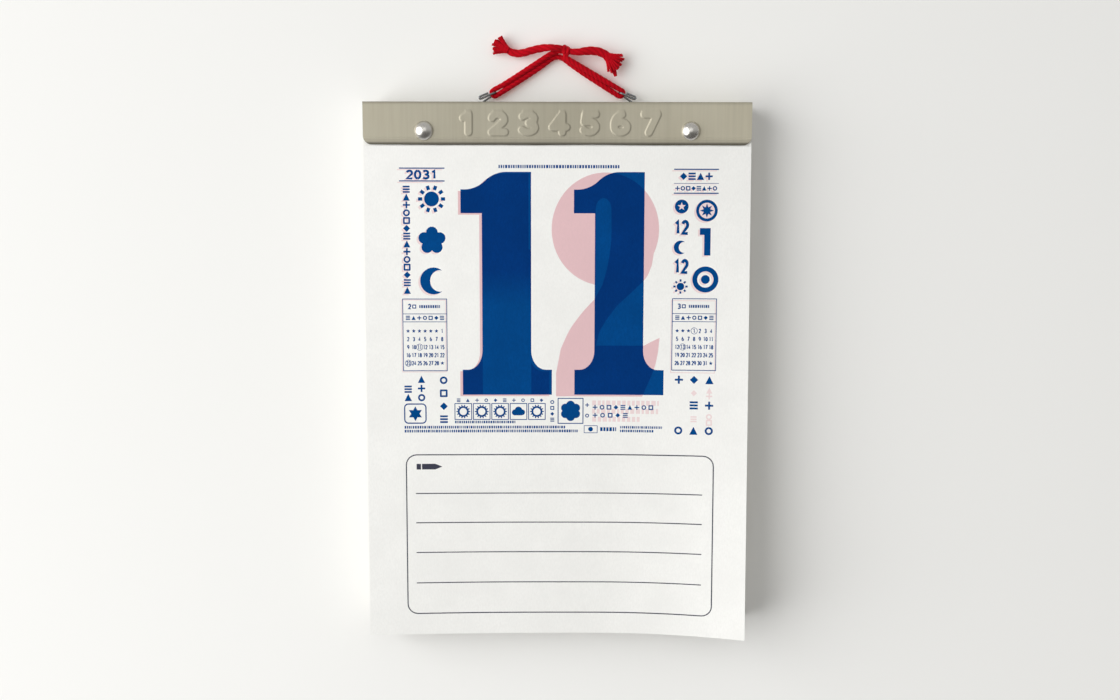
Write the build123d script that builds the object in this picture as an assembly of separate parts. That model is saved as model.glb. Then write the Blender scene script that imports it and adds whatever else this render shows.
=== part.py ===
from build123d import *
import math
import os

os.makedirs("parts", exist_ok=True)

# Frame: X to the right, Y into the wall, Z up. The wall is the plane Y = 0.
# The origin is on the axis of the pin or nail that the cord hangs on.

# Driving dimensions, in millimetres
page_w = 182.0
full_h = 257.0
hang_drop = 21.3
wall_gap = 2.1
board_t = 1.2
sheet_t = 0.05
sheets_left = {
    "january": 19,
    "february": 28,
    "march": 31,
    "april": 30,
    "may": 31,
    "june": 30,
    "july": 31,
    "august": 31,
    "september": 30,
    "october": 31,
    "november": 30,
    "december": 31,
}
stub_sheets = 12

bar_h = 20.0
plate_t = 0.4
bend_r = 0.6
back_flange_h = 5.0
lip_h = 2.6
lip_in = 0.4
corner_r = 4.0

rivet_inset = 28.5
rivet_drop = 13.4
dome_r = 4.4
dome_h = 2.9
dome_rim = 0.35
shank_r = 1.5
tail_r = 2.6
washer_r = 4.5
washer_t = 0.5
tail_t = 0.5

wire_d = 1.0
hook_half = 2.1
hook_out = 1.2
leg_bend_r = 3.0
eye_x = 29.8
eye_drop = 15.3
wire_end_run = 8.2
wire_end_w = 1.8
wire_end_slope = 24.0

cord_d = 2.4
pin_r = 0.6
knot_r = 2.5

strip_h = 4.0
curl_x = 17.7
curl_left = 4.0
curl_right = 10.5
tomorrow_share = 0.65
left_facets = 8
right_facets = 20

# Clearances
hole_gap = 0.15
top_gap = 0.2
lip_gap = 0.4
leaf_gap = 0.2
fold_gap = 0.3
eye_gap = 0.1
cord_gap = 0.1
touch_gap = 0.02

# Places across and up
bar_top = -hang_drop
bar_bottom = bar_top - bar_h
pad_top = bar_top - plate_t - top_gap
pad_bottom = bar_top - full_h
rivet_x = page_w / 2 - rivet_inset
rivet_z = bar_top - rivet_drop
leaf_top = bar_bottom - lip_gap
fold_z = leaf_top - strip_h

# Depths, from the wall forwards
board_back = -wall_gap
board_front = board_back - board_t
pad_front = board_front - sheet_t * sum(sheets_left.values())
plate_in = pad_front - sheet_t * stub_sheets
plate_out = plate_in - plate_t
tomorrow_back = pad_front - leaf_gap
today_back = tomorrow_back - sheet_t - leaf_gap
hook_y = board_back + wire_d / 2
washer_front = board_back + wire_d
washer_back = washer_front + washer_t
leg_y = board_back + plate_t + cord_gap + wire_d / 2 + touch_gap
eye_y = leg_y - wire_d / 2 - cord_gap - cord_d / 2
front_leg_y = eye_y - cord_d / 2 - cord_gap - wire_d / 2


def across(x, z, radius, length):
    """A round bar along Y through the point x, z."""
    return Pos(x, 0, z) * Rot(90, 0, 0) * Cylinder(radius, length)


def drilled(shape):
    """The shape with the two rivet holes through it."""
    for side in (-1, 1):
        shape = shape - across(side * rivet_x, rivet_z, shank_r + hole_gap, 4 * full_h)
    return shape


def slab(y_back, thickness, z_low, z_high):
    """A flat block as wide as the sheets, from y_back forwards."""
    middle = Pos(0, y_back - thickness / 2, (z_low + z_high) / 2)
    return middle * Box(page_w, thickness, z_high - z_low)


def header_bar():
    """The folded tin bar over the head of the pad, with a bent lower lip."""
    bar_bottom_y = plate_in + lip_in
    crease = bar_bottom + lip_h
    outline = Polyline(
        (board_back + plate_t, bar_top - back_flange_h),
        (board_back + plate_t, bar_top),
        (plate_out, bar_top),
        (plate_out, crease),
        (bar_bottom_y - plate_t, bar_bottom),
        (bar_bottom_y, bar_bottom),
        (plate_in, crease),
        (plate_in, bar_top - plate_t),
        (board_back, bar_top - plate_t),
        (board_back, bar_top - back_flange_h),
        close=True,
    )
    face = make_face(outline)
    face = fillet(face.vertices().group_by(Axis.Y)[-1], bend_r)
    bar = extrude(Plane.YZ * face, amount=page_w / 2, both=True)
    for side in (-1, 1):
        centre_x = side * (page_w / 2 - corner_r)
        centre_z = bar_bottom + corner_r
        reach = 2 * corner_r
        block = Pos(centre_x + side * reach / 2, plate_in, centre_z - reach / 2) * Box(reach, reach, reach)
        bar = bar - (block - across(centre_x, centre_z, corner_r, 4 * full_h))
    return drilled(bar)


def rivet(side):
    """Domed head in front, shank through the pad, clinched tail behind the washer."""
    dome_top = plate_out - dome_h
    rim = plate_out - dome_rim
    high = dome_h - dome_rim
    sphere_r = (dome_r**2 + high**2) / (2 * high)
    half = math.asin(dome_r / sphere_r) / 2
    mid = (sphere_r * math.sin(half), dome_top + sphere_r * (1 - math.cos(half)))
    outline = [
        ThreePointArc((0, dome_top), mid, (dome_r, rim)),
        Polyline(
            (dome_r, rim),
            (dome_r, plate_out),
            (shank_r, plate_out),
            (shank_r, washer_back),
            (tail_r, washer_back),
            (tail_r, washer_back + tail_t),
            (0, washer_back + tail_t),
            (0, dome_top),
        ),
    ]
    solid = revolve(make_face(outline), Axis.Y, 360)
    return Pos(side * rivet_x, 0, rivet_z) * solid


def washer(side):
    """The flat washer that holds the wire's hook against the board."""
    middle = Pos(side * rivet_x, (washer_front + washer_back) / 2, rivet_z) * Rot(90, 0, 0)
    ring = Cylinder(washer_r, washer_t) - Cylinder(shank_r + hole_gap, 2 * washer_t)
    return middle * ring


def corner_radii(points, limits):
    """The radius at each inner point: its limit, or 0.45 of the shorter run over tan(half turn) if less."""
    radii = []
    for before, here, after, limit in zip(points, points[1:], points[2:], limits):
        run_in = Vector(*here) - Vector(*before)
        run_out = Vector(*after) - Vector(*here)
        half_turn = math.radians(run_in.get_angle(run_out)) / 2
        fits = 0.45 * min(run_in.length, run_out.length) / math.tan(half_turn)
        radii.append(min(limit, fits))
    return radii


def tube(name, points, limits, diameter):
    """A round tube along straight runs joined by tangent arcs."""
    radii = corner_radii(points, limits)
    path = FilletPolyline(*points, radius=radii)
    section = Plane(origin=path @ 0, z_dir=path % 0) * Circle(diameter / 2)
    solid = sweep(section, path=path)
    full = math.pi * diameter**2 / 4 * path.length
    print(name, "length", round(path.length, 1), "radii", [round(r, 2) for r in radii])
    print(name, "volume over section times length", round(solid.volume / full, 3))
    return solid


def left_wire():
    """A wire hooked round the left rivet, up behind the bar, round the cord and folded back in front."""
    run_x = rivet_x - eye_x
    run_z = -eye_drop - rivet_z
    leg = math.hypot(run_x, run_z)
    along = (run_x / leg, run_z / leg)
    slope = math.radians(wire_end_slope)
    out = (-math.cos(slope), -math.sin(slope))

    def by_leg(u, v, y):
        x = -rivet_x + u * along[0] - v * along[1]
        z = rivet_z + u * along[1] + v * along[0]
        return (x, y, z)

    def by_eye(u, v):
        x = -eye_x + u * out[0] + v * out[1]
        z = -eye_drop + u * out[1] - v * out[0]
        return (x, front_leg_y, z)

    under = -hook_half
    clear = washer_r + hook_out
    points = [
        by_leg(hook_half, hook_half, hook_y),
        by_leg(under, hook_half, hook_y),
        by_leg(under, under, hook_y),
        by_leg(clear, under, hook_y),
        by_leg(2 * clear, under, leg_y),
        (-eye_x, leg_y, -eye_drop),
        (-eye_x, front_leg_y, -eye_drop),
        by_eye(wire_end_run, 0),
        by_eye(wire_end_run, wire_end_w),
        by_eye(wire_end_run * 0.4, wire_end_w * 0.9),
    ]
    ring_r = hook_half * 0.9
    bight_r = cord_d * 0.65
    end_r = wire_end_w * 0.45
    limits = [ring_r, ring_r, leg_bend_r, leg_bend_r, bight_r, bight_r, end_r, end_r]
    return tube("hanger_wire", points, limits, wire_d)


# The cord's route: one cord, doubled through both eyes, crossing the pin and tied at its upper right
# At the cord's slope the corner over the pin stands 0.16 of a diameter over the top of its arc
bend_eye = wire_d / 2 + eye_gap + cord_d / 2
low_apex = (0.0, -1.7, pin_r + 0.66 * cord_d)
high_apex = (-0.3, -3.7, 4.2)
knot_at = (3.9, -4.2, 4.6)
knot_foot = (3.5, -4.3, 1.2)


def eye_corners(side):
    """The two points where the cord turns round the wire at one eye, upper strand first."""
    rise = math.atan2(low_apex[2] + eye_drop, eye_x)
    half = bend_eye / 0.9
    corners = []
    for up in (1, -1):
        x = eye_x + bend_eye * math.cos(rise) + up * half * math.sin(rise)
        z = -eye_drop - bend_eye * math.sin(rise) + up * half * math.cos(rise)
        corners.append((side * x, eye_y, z))
    return corners


def cord_route():
    """The loop's points from the knot over the pin, round the left eye, the pin, the right eye and back."""
    left_high, left_low = eye_corners(-1)
    right_high, right_low = eye_corners(1)
    x, y, z = knot_at
    first = (x - knot_r / 2, y + knot_r / 8, z - knot_r / 8)
    last = (x, y, z - knot_r / 4)
    return [first, high_apex, left_high, left_low, low_apex, right_low, right_high, knot_foot, last]


left_tail_route = [
    (3.5, -5.2, 5.2),
    (-1.5, -7.5, 5.4),
    (-6.5, -5.8, 5.5),
    (-12.0, -4.6, 4.5),
    (-18.5, -3.4, 2.7),
    (-23.8, -2.6, 4.2),
    (-28.6, -2.2, 8.0),
]
right_tail_route = [
    (3.2, -4.9, 4.5),
    (8.5, -5.6, 3.2),
    (14.5, -5.2, 4.3),
    (20.5, -4.6, 4.0),
    (25.4, -4.0, 0.8),
    (28.0, -3.6, -7.6),
]


def cord_piece(name, route, limits):
    """One run of the cord, trimmed to the outside of the knot."""
    return tube(name, route, limits, cord_d) - Pos(*knot_at) * Sphere(knot_r + touch_gap)


def bend(x):
    """How far forwards the lower edge of the top leaf lies at x: a parabola on each side of curl_x."""
    if x < curl_x:
        return curl_left * ((curl_x - x) / (curl_x + page_w / 2)) ** 2
    return curl_right * ((x - curl_x) / (page_w / 2 - curl_x)) ** 2


def curled_leaf(y_back, z_high, rise):
    """One sheet, flat at its upper edge, curling forwards towards its lower corners, in flat facets."""
    half = page_w / 2
    xs = [-half + (curl_x + half) * i / left_facets for i in range(left_facets)]
    xs += [curl_x + (half - curl_x) * i / right_facets for i in range(right_facets + 1)]
    ahead = (0, -sheet_t, 0)
    high = [Vector(x, y_back, z_high) for x in xs]
    low = [Vector(x, y_back - rise * bend(x), pad_bottom) for x in xs]

    def flat(*corners):
        return Face(Wire.make_polygon(corners, close=True))

    def front(points):
        return [p + ahead for p in points]

    faces = [flat(*high, *reversed(front(high)))]
    for i in range(len(xs) - 1):
        upper = (high[i], high[i + 1], low[i])
        lower = (high[i + 1], low[i + 1], low[i])
        edge = (low[i], low[i + 1])
        faces += [flat(*upper), flat(*lower), flat(*front(upper)), flat(*front(lower))]
        faces.append(flat(*edge, *reversed(front(edge))))
    for i in (0, -1):
        side = (high[i], low[i])
        faces.append(flat(*side, *reversed(front(side))))
    return Solid(Shell(faces))


nodes = {}
nodes["header_bar"] = header_bar()
nodes["backing_board"] = drilled(slab(board_back, board_t, pad_bottom, pad_top))
bundle_back = board_front
for month in reversed(sheets_left):
    bundle_t = sheet_t * sheets_left[month]
    nodes[month + "_leaves"] = drilled(slab(bundle_back, bundle_t, pad_bottom, pad_top))
    bundle_back = bundle_back - bundle_t
stub_low = bar_bottom + lip_h + top_gap
nodes["torn_stubs"] = drilled(slab(pad_front, sheet_t * stub_sheets, stub_low, pad_top))
nodes["tomorrow_leaf"] = curled_leaf(tomorrow_back, leaf_top, tomorrow_share)
nodes["today_strip"] = slab(today_back, sheet_t, fold_z, leaf_top)
nodes["today_leaf"] = curled_leaf(today_back, fold_z - fold_gap, 1)

wire = left_wire()
for side, word in ((-1, "left"), (1, "right")):
    nodes["rivet_" + word] = rivet(side)
    nodes["washer_" + word] = washer(side)
    nodes["hanger_wire_" + word] = wire if side < 0 else mirror(wire, about=Plane.YZ)

limp = 3 * cord_d
loop_limits = [limp, bend_eye, bend_eye, cord_d, bend_eye, bend_eye, limp]
nodes["cord_knot"] = Pos(*knot_at) * Sphere(knot_r)
nodes["cord_loop"] = cord_piece("cord_loop", cord_route(), loop_limits)
nodes["cord_tail_left"] = cord_piece("cord_tail_left", left_tail_route, [limp] * 5)
nodes["cord_tail_right"] = cord_piece("cord_tail_right", right_tail_route, [limp] * 4)

for name, shape in nodes.items():
    export_step(shape, "parts/" + name + ".step")

print("nodes", len(nodes))
print("tomorrow hinge y z", round(tomorrow_back - sheet_t, 4), round(leaf_top, 4))
print("today hinge y z", round(today_back - sheet_t, 4), round(fold_z - fold_gap / 2, 4))
print("depth of bar front", round(plate_out, 3), "dome front", round(plate_out - dome_h, 3))
print("cord route", [tuple(round(c, 2) for c in p) for p in cord_route()])
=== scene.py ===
import math

import bmesh
import bpy
import numpy as np
from mathutils import Matrix, Vector
from mathutils.geometry import delaunay_2d_cdt


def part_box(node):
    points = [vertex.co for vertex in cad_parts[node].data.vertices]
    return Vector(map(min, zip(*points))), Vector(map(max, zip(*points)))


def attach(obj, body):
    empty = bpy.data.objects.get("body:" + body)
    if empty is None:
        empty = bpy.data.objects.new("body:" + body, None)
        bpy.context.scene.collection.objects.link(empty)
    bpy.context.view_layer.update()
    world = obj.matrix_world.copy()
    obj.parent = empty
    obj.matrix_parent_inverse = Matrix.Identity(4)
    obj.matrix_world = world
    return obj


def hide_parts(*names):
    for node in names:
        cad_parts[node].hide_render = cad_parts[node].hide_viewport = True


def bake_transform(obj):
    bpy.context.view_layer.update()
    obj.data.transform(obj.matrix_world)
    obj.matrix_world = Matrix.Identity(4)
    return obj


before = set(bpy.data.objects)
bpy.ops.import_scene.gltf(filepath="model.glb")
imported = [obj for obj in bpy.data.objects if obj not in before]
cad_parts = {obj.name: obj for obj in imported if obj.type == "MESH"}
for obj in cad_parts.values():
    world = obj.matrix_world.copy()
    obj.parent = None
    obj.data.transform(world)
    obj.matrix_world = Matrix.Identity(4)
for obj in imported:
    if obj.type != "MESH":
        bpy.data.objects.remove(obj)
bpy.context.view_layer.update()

MM = 0.001
RNG = np.random.default_rng(11)


# Sizes in millimetres, in the CAD frame: X right, Y to the back, Z up, the cord hangs at the origin

def side(node, axis, end):
    """Where a CAD node's box ends along an axis: end 0 is its low side and 1 its high side."""
    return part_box(node)[end][axis] / MM


HALF = side("backing_board", 0, 1)
LOW = side("backing_board", 2, 0)
BAR_TOP = side("header_bar", 2, 1)
BAR_BOTTOM = side("header_bar", 2, 0)
PLATE_OUT = side("header_bar", 1, 0)
BACK_OUT = side("header_bar", 1, 1)
LEAF_TOP = side("today_strip", 2, 1)
FOLD = (side("today_strip", 2, 0) + side("today_leaf", 2, 1)) / 2
SHEET_T = 0.05
TODAY_FACE = side("today_strip", 1, 0)
TOMORROW_FACE = side("tomorrow_leaf", 1, 1) - SHEET_T
PLATE_T, BEND, BACK_DROP = 0.4, 0.6, 5.0
LIP_H, LIP_IN, CORNER_R = 3.1, 0.4, 4.0
CREASE = BAR_BOTTOM + LIP_H
CURL_X, CURL_LEFT, CURL_RIGHT, TOMORROW_SHARE = 17.7, 4.0, 10.5, 0.65
WIRE_R, WIRE_FOLD, WIRE_SLOPE, WIRE_PRESS = 0.5, 1.8, math.radians(24.0), 0.92


# Node materials

def put(tree, kind, inputs=None, **settings):
    """Adds one shader node; an input that is a socket is linked, any other is set."""
    node = tree.nodes.new(kind)
    for key, value in settings.items():
        setattr(node, key, value)
    for key, value in (inputs or {}).items():
        if isinstance(value, bpy.types.NodeSocket):
            tree.links.new(value, node.inputs[key])
        else:
            node.inputs[key].default_value = value
    return node


def start_material(name):
    """A new node material with its surface shader, and the object's own coordinates."""
    mat = bpy.data.materials.new(name)
    mat.use_nodes = True
    tree = mat.node_tree
    tree.nodes.clear()
    shader = put(tree, "ShaderNodeBsdfPrincipled")
    put(tree, "ShaderNodeOutputMaterial", {"Surface": shader.outputs[0]})
    place = put(tree, "ShaderNodeTexCoord").outputs["Object"]
    return mat, tree, shader, place


def noise(tree, place, scale, detail=3.0, stretch=(1, 1, 1), rough=0.55):
    """Noise on the object's coordinates, in features per metre along each axis."""
    moved = put(tree, "ShaderNodeMapping", {"Vector": place, "Scale": stretch})
    texture = put(
        tree,
        "ShaderNodeTexNoise",
        {"Vector": moved.outputs[0], "Scale": scale, "Detail": detail, "Roughness": rough},
    )
    return texture.outputs["Fac"]


def ramp(tree, factor, stops):
    """A colour ramp from (position, colour) pairs."""
    node = put(tree, "ShaderNodeValToRGB", {"Fac": factor})
    band = node.color_ramp
    while len(band.elements) < len(stops):
        band.elements.new(0.5)
    for element, (position, colour) in zip(band.elements, stops):
        element.position = position
        element.color = (*colour, 1.0)
    return node.outputs["Color"]


def along(tree, place, axis, low, high, stops):
    """A colour ramp along one axis of the object, between two places in millimetres."""
    far = put(tree, "ShaderNodeSeparateXYZ", {0: place}).outputs[axis]
    ends = {"Value": far, "From Min": low * MM, "From Max": high * MM}
    return ramp(tree, put(tree, "ShaderNodeMapRange", ends).outputs[0], stops)


def recoloured(mat, change):
    """Multiplies a material's colour by the colour that change(tree, place) makes."""
    tree = mat.node_tree
    place = put(tree, "ShaderNodeTexCoord").outputs["Object"]
    socket = next(n for n in tree.nodes if n.type == "BSDF_PRINCIPLED").inputs["Base Color"]
    tree.links.new(tinted(tree, socket.links[0].from_socket, change(tree, place)), socket)
    return mat


def tinted(tree, a, b):
    """One colour multiplied by another."""
    node = put(tree, "ShaderNodeMix", data_type="RGBA", blend_type="MULTIPLY")
    node.inputs[0].default_value = 1.0
    tree.links.new(a, node.inputs[6])
    tree.links.new(b, node.inputs[7])
    return node.outputs[2]


def bump(tree, height, strength, distance):
    """A bump normal from a height."""
    node = put(tree, "ShaderNodeBump", {"Height": height, "Strength": strength, "Distance": distance})
    return node.outputs[0]


def shaded(colour, share):
    """A colour darkened to a share of itself."""
    return tuple(c * share for c in colour)


def grey(value):
    """A neutral colour."""
    return (value, value, value)


def paper(name, colour, mottle=0.93, gloss=0.10):
    """Uncoated thin paper with cloudy formation and fine fibres; printed areas use the ink's colour."""
    mat, tree, shader, place = start_material(name)
    cloud = noise(tree, place, 55.0, 4.0)
    fibre = noise(tree, place, 1500.0, 2.0, (1.0, 1.0, 0.45))
    both = put(tree, "ShaderNodeMath", {0: cloud, 1: fibre}, operation="MULTIPLY").outputs[0]
    tint = ramp(tree, both, [(0.10, shaded(colour, mottle)), (0.42, colour)])
    tree.links.new(tint, shader.inputs["Base Color"])
    shader.inputs["Roughness"].default_value = 0.82
    shader.inputs["Specular IOR Level"].default_value = gloss
    tree.links.new(bump(tree, fibre, 0.10, 0.00006), shader.inputs["Normal"])
    return mat


def ink(name, colour):
    """Printed ink: deeper mottling than bare paper and hardly any gloss."""
    return paper(name, colour, 0.80, 0.03)


def fading_ink(name, upper, lower, high, low):
    """Printed ink whose colour goes softly over from one to another between two heights."""
    def colour(tree, place):
        """The colour at each height."""
        return along(tree, place, "Z", low, high, [(0.0, lower), (1.0, upper)])

    return recoloured(ink(name, grey(1.0)), colour)


def cut_edges(name, colour):
    """The pad's block of leaves: fine lines of cut sheet edges on its sides, deepened by painted shade in the
    gaps between the sheets, plain paper in front.
    """
    mat, tree, shader, place = start_material(name)
    lines = noise(tree, place, 60.0, 5.0, (0.6, 110.0, 0.6), 0.75)
    broad = noise(tree, place, 30.0, 2.0, (0.4, 12.0, 0.4))
    # The sides are darker than the paper: the cut edges' own grey, deepened by painted shade in the gaps
    # between the sheets
    shares = ((0.30, 0.54), (0.47, 0.70), (0.62, 0.78))
    tint = ramp(tree, lines, [(at, shaded(colour, share)) for at, share in shares])
    warm = ramp(tree, broad, [(0.35, (0.97, 0.95, 0.90)), (0.65, grey(1.0))])
    faces = put(tree, "ShaderNodeTexCoord").outputs["Normal"]
    front = put(tree, "ShaderNodeSeparateXYZ", {0: faces}).outputs["Y"]
    share = put(tree, "ShaderNodeMath", {0: front}, operation="ABSOLUTE").outputs[0]
    both = {0: share, 6: tinted(tree, tint, warm), 7: (*colour, 1.0)}
    mixed = put(tree, "ShaderNodeMix", both, data_type="RGBA").outputs[2]
    tree.links.new(mixed, shader.inputs["Base Color"])
    shader.inputs["Roughness"].default_value = 0.88
    shader.inputs["Specular IOR Level"].default_value = 0.2
    tree.links.new(bump(tree, lines, 0.35, 0.00012), shader.inputs["Normal"])
    return mat


def chipboard(name):
    """Grey recycled board with dark and pale flecks."""
    mat, tree, shader, place = start_material(name)
    cloud = noise(tree, place, 40.0, 4.0)
    fleck = noise(tree, place, 900.0, 2.0, (1.0, 1.0, 0.6), 0.7)
    base = ramp(tree, cloud, [(0.3, (0.37, 0.345, 0.305)), (0.7, (0.42, 0.395, 0.35))])
    dots = ramp(
        tree,
        fleck,
        [(0.33, (0.62, 0.60, 0.58)), (0.45, grey(1.0)), (0.66, grey(1.0)), (0.74, (1.18, 1.16, 1.12))],
    )
    tree.links.new(tinted(tree, base, dots), shader.inputs["Base Color"])
    shader.inputs["Roughness"].default_value = 0.92
    tree.links.new(bump(tree, fleck, 0.3, 0.00015), shader.inputs["Normal"])
    return mat


def plated(name, colour, rough, streaks, metallic=1.0):
    """Rolled plated metal: drawn streaks along Z, cloudy tarnish and a fine grain."""
    mat, tree, shader, place = start_material(name)
    streak = noise(tree, place, 90.0, 4.0, (9.0, 9.0, 0.25), 0.6)
    cloud = noise(tree, place, 35.0, 3.0)
    grain = noise(tree, place, 2600.0, 2.0)
    light = ramp(tree, streak, [(0.25, shaded(colour, 1.0 - streaks)), (0.6, colour)])
    worn = ramp(tree, cloud, [(0.3, (0.93, 0.92, 0.90)), (0.65, grey(1.0))])
    tree.links.new(tinted(tree, light, worn), shader.inputs["Base Color"])
    shader.inputs["Metallic"].default_value = metallic
    low = put(tree, "ShaderNodeMapRange", {"Value": cloud, "To Min": rough * 0.85, "To Max": rough * 1.2})
    tree.links.new(low.outputs[0], shader.inputs["Roughness"])
    tree.links.new(bump(tree, grain, 0.06, 0.00004), shader.inputs["Normal"])
    return mat


def bar_metal(name):
    """The bar's plated sheet: painted shade along its top bend, below the crease of its lip and on its lower
    edge, and painted highlights on a thin line just above the crease and growing towards its right end."""
    # Painted shade on the lower edge, on the lip below the crease and along the top bend; a painted highlight
    # just above the crease
    foot = [(0.0, 0.26), (0.045, 0.40), (0.08, 0.88), (0.14, 0.88), (0.155, 1.08), (0.18, 1.0)]
    head = [(0.92, 1.0), (0.955, 0.84), (0.98, 0.76), (1.0, 0.92)]

    def tone(tree, place):
        """The painted shade and highlight at each height times the painted highlight at each place along the
        bar.
        """
        height = along(tree, place, "Z", BAR_BOTTOM, BAR_TOP, [(at, grey(v)) for at, v in foot + head])
        # Painted highlight: brighter from the middle towards the right end
        width = along(tree, place, "X", 0.0, HALF, [(0.0, grey(1.0)), (1.0, grey(1.38))])
        return tinted(tree, height, width)

    return recoloured(plated(name, (0.415, 0.39, 0.31), 0.56, 0.07, 0.72), tone)


def yarn(name):
    """Soft red yarn: painted shade in the grooves between its plies, fine fibres, a little sheen."""
    mat, tree, shader, place = start_material(name)
    groove = put(tree, "ShaderNodeAttribute", attribute_name="groove").outputs["Fac"]
    fibre = noise(tree, place, 3200.0, 3.0, rough=0.7)
    cloud = noise(tree, place, 260.0, 2.0)
    # Painted shade: darker where the groove attribute marks the grooves between the plies
    deep = ramp(
        tree,
        groove,
        [(0.0, (0.27, 0.0, 0.004)), (0.4, (0.45, 0.001, 0.007)), (1.0, (0.54, 0.002, 0.011))],
    )
    speck = ramp(tree, fibre, [(0.30, grey(0.70)), (0.62, grey(1.08))])
    soft = ramp(tree, cloud, [(0.35, grey(0.88)), (0.65, grey(1.0))])
    tree.links.new(tinted(tree, tinted(tree, deep, speck), soft), shader.inputs["Base Color"])
    shader.inputs["Roughness"].default_value = 0.9
    shader.inputs["Specular IOR Level"].default_value = 0.10
    shader.inputs["Sheen Weight"].default_value = 0.2
    shader.inputs["Sheen Tint"].default_value = (0.9, 0.1, 0.15, 1.0)
    tree.links.new(bump(tree, fibre, 0.5, 0.0002), shader.inputs["Normal"])
    return mat


BLUE, DEEP_BLUE = (0.0006, 0.062, 0.245), (0.0006, 0.036, 0.185)
# The show-through colours are painted light: the print behind a thin sheet is painted into its colour, not
# lit through the paper
MATERIALS = {
    "paper": paper("leaf_paper_front", (0.875, 0.875, 0.85)),
    "back": paper("leaf_paper_back", (0.80, 0.80, 0.775)),
    "blue": ink("ink_blue", BLUE),
    "blue_deep": ink("ink_blue_over_show_through", DEEP_BLUE),
    "blue_fading": fading_ink("ink_blue_fading", DEEP_BLUE, BLUE, -100.0, -117.0),
    "pink": paper("red_show_through", (0.74, 0.505, 0.525), 0.95),
    "faint": paper("faint_red_show_through", (0.81, 0.665, 0.665), 0.95),
    "grey": ink("ink_grey", (0.055, 0.058, 0.085)),
    "blue_back": paper("blue_show_through_on_back", (0.56, 0.62, 0.68), 0.95),
    "red": ink("ink_red", (0.62, 0.018, 0.045)),
    "red_back": paper("red_show_through_on_back", (0.74, 0.57, 0.56), 0.95),
    "edges": cut_edges("leaf_block", (0.84, 0.835, 0.80)),
    "board": chipboard("grey_chipboard"),
    "bar": bar_metal("plated_tin_bar"),
    "rivet": plated("polished_rivet", (0.74, 0.725, 0.69), 0.27, 0.03),
    "washer": plated("zinc_washer", (0.52, 0.53, 0.54), 0.38, 0.10),
    "wire": plated("steel_wire", (0.25, 0.26, 0.275), 0.22, 0.15),
    "yarn": yarn("red_yarn"),
}


# Mesh helpers

def mesh_piece(name, verts, faces, materials, index=None, outward=True):
    """A smooth mesh object at the origin from points in millimetres; outward turns a shell's faces out."""
    mesh = bpy.data.meshes.new(name)
    mesh.from_pydata((np.asarray(verts, float) * MM).tolist(), [], [list(map(int, f)) for f in faces])
    for mat in materials:
        mesh.materials.append(mat)
    if index is not None:
        mesh.polygons.foreach_set("material_index", np.asarray(index, dtype=np.int32))
    if outward:
        work = bmesh.new()
        work.from_mesh(mesh)
        bmesh.ops.recalc_face_normals(work, faces=work.faces)
        work.to_mesh(mesh)
        work.free()
    mesh.polygons.foreach_set("use_smooth", np.full(len(mesh.polygons), True))
    mesh.validate()
    mesh.update()
    obj = bpy.data.objects.new(name, mesh)
    bpy.context.scene.collection.objects.link(obj)
    return obj


def grid_faces(rows, cols, around=False, start=0):
    """Quads of a grid of points numbered row by row; around joins the last column to the first."""
    ids = start + np.arange(rows * cols).reshape(rows, cols)
    if around:
        ids = np.concatenate([ids, ids[:, :1]], axis=1)
    quads = np.stack([ids[:-1, :-1], ids[:-1, 1:], ids[1:, 1:], ids[1:, :-1]], axis=-1)
    return quads.reshape(-1, 4)


def grid_rim(rows, cols):
    """The point numbers round a grid's outside, in order."""
    ids = np.arange(rows * cols).reshape(rows, cols)
    return np.concatenate([ids[0], ids[1:, -1], ids[-1, -2::-1], ids[-2:0:-1, 0]])


def arc(cx, cy, rx, ry, a, b, n=9):
    """Points on an ellipse from angle a to angle b, in degrees."""
    t = np.radians(np.linspace(a, b, n))
    return np.stack([cx + rx * np.cos(t), cy + ry * np.sin(t)], axis=1)


def path(*parts):
    """One run of points from several."""
    return np.concatenate([np.atleast_2d(np.asarray(p, float)) for p in parts])


def smooth(points, n=5):
    """A smooth line through points: on each run a cubic that has the mean slope of the runs at its ends."""
    p = np.asarray(points, float)
    slope = np.gradient(p, axis=0)
    t = np.linspace(0, 1, n, endpoint=False)[:, None, None]
    a, b, u, v = p[:-1], p[1:], slope[:-1], slope[1:]
    cubic = a + t * (u + t * (3 * (b - a) - 2 * u - v + t * (u + v - 2 * (b - a))))
    return path(cubic.transpose(1, 0, 2).reshape(-1, 2), p[-1:])


# Plain figures as single lines in a box FIGURE_W wide and 1 high
FIGURE_W = 0.6
FIGURES = {
    "0": [arc(0.3, 0.5, 0.25, 0.45, 90, 270), arc(0.3, 0.5, 0.25, 0.45, -90, 90)],
    "1": [path([(0.14, 0.76), (0.34, 0.95), (0.34, 0.05)])],
    "2": [path(arc(0.3, 0.69, 0.24, 0.26, 165, -35), [(0.06, 0.05), (0.56, 0.05)])],
    "3": [path(arc(0.28, 0.73, 0.24, 0.22, 150, -80), arc(0.28, 0.28, 0.27, 0.23, 80, -150))],
    "4": [path([(0.42, 0.05), (0.42, 0.95), (0.04, 0.30), (0.58, 0.30)])],
    "5": [path([(0.53, 0.95), (0.13, 0.95), (0.09, 0.56)], arc(0.28, 0.32, 0.26, 0.27, 105, -145))],
    "6": [path(arc(0.42, 0.45, 0.36, 0.50, 100, 178), arc(0.31, 0.31, 0.25, 0.26, 170, 520, 17))],
    "7": [path([(0.05, 0.95), (0.55, 0.95), (0.22, 0.05)])],
    "8": [arc(0.3, 0.73, 0.21, 0.22, -90, 270, 17), arc(0.3, 0.28, 0.25, 0.23, 90, 450, 17)],
    "9": [path(arc(0.18, 0.55, 0.36, 0.50, -80, -2), arc(0.29, 0.69, 0.25, 0.26, -10, 340, 17))],
}


# The header bar

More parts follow.
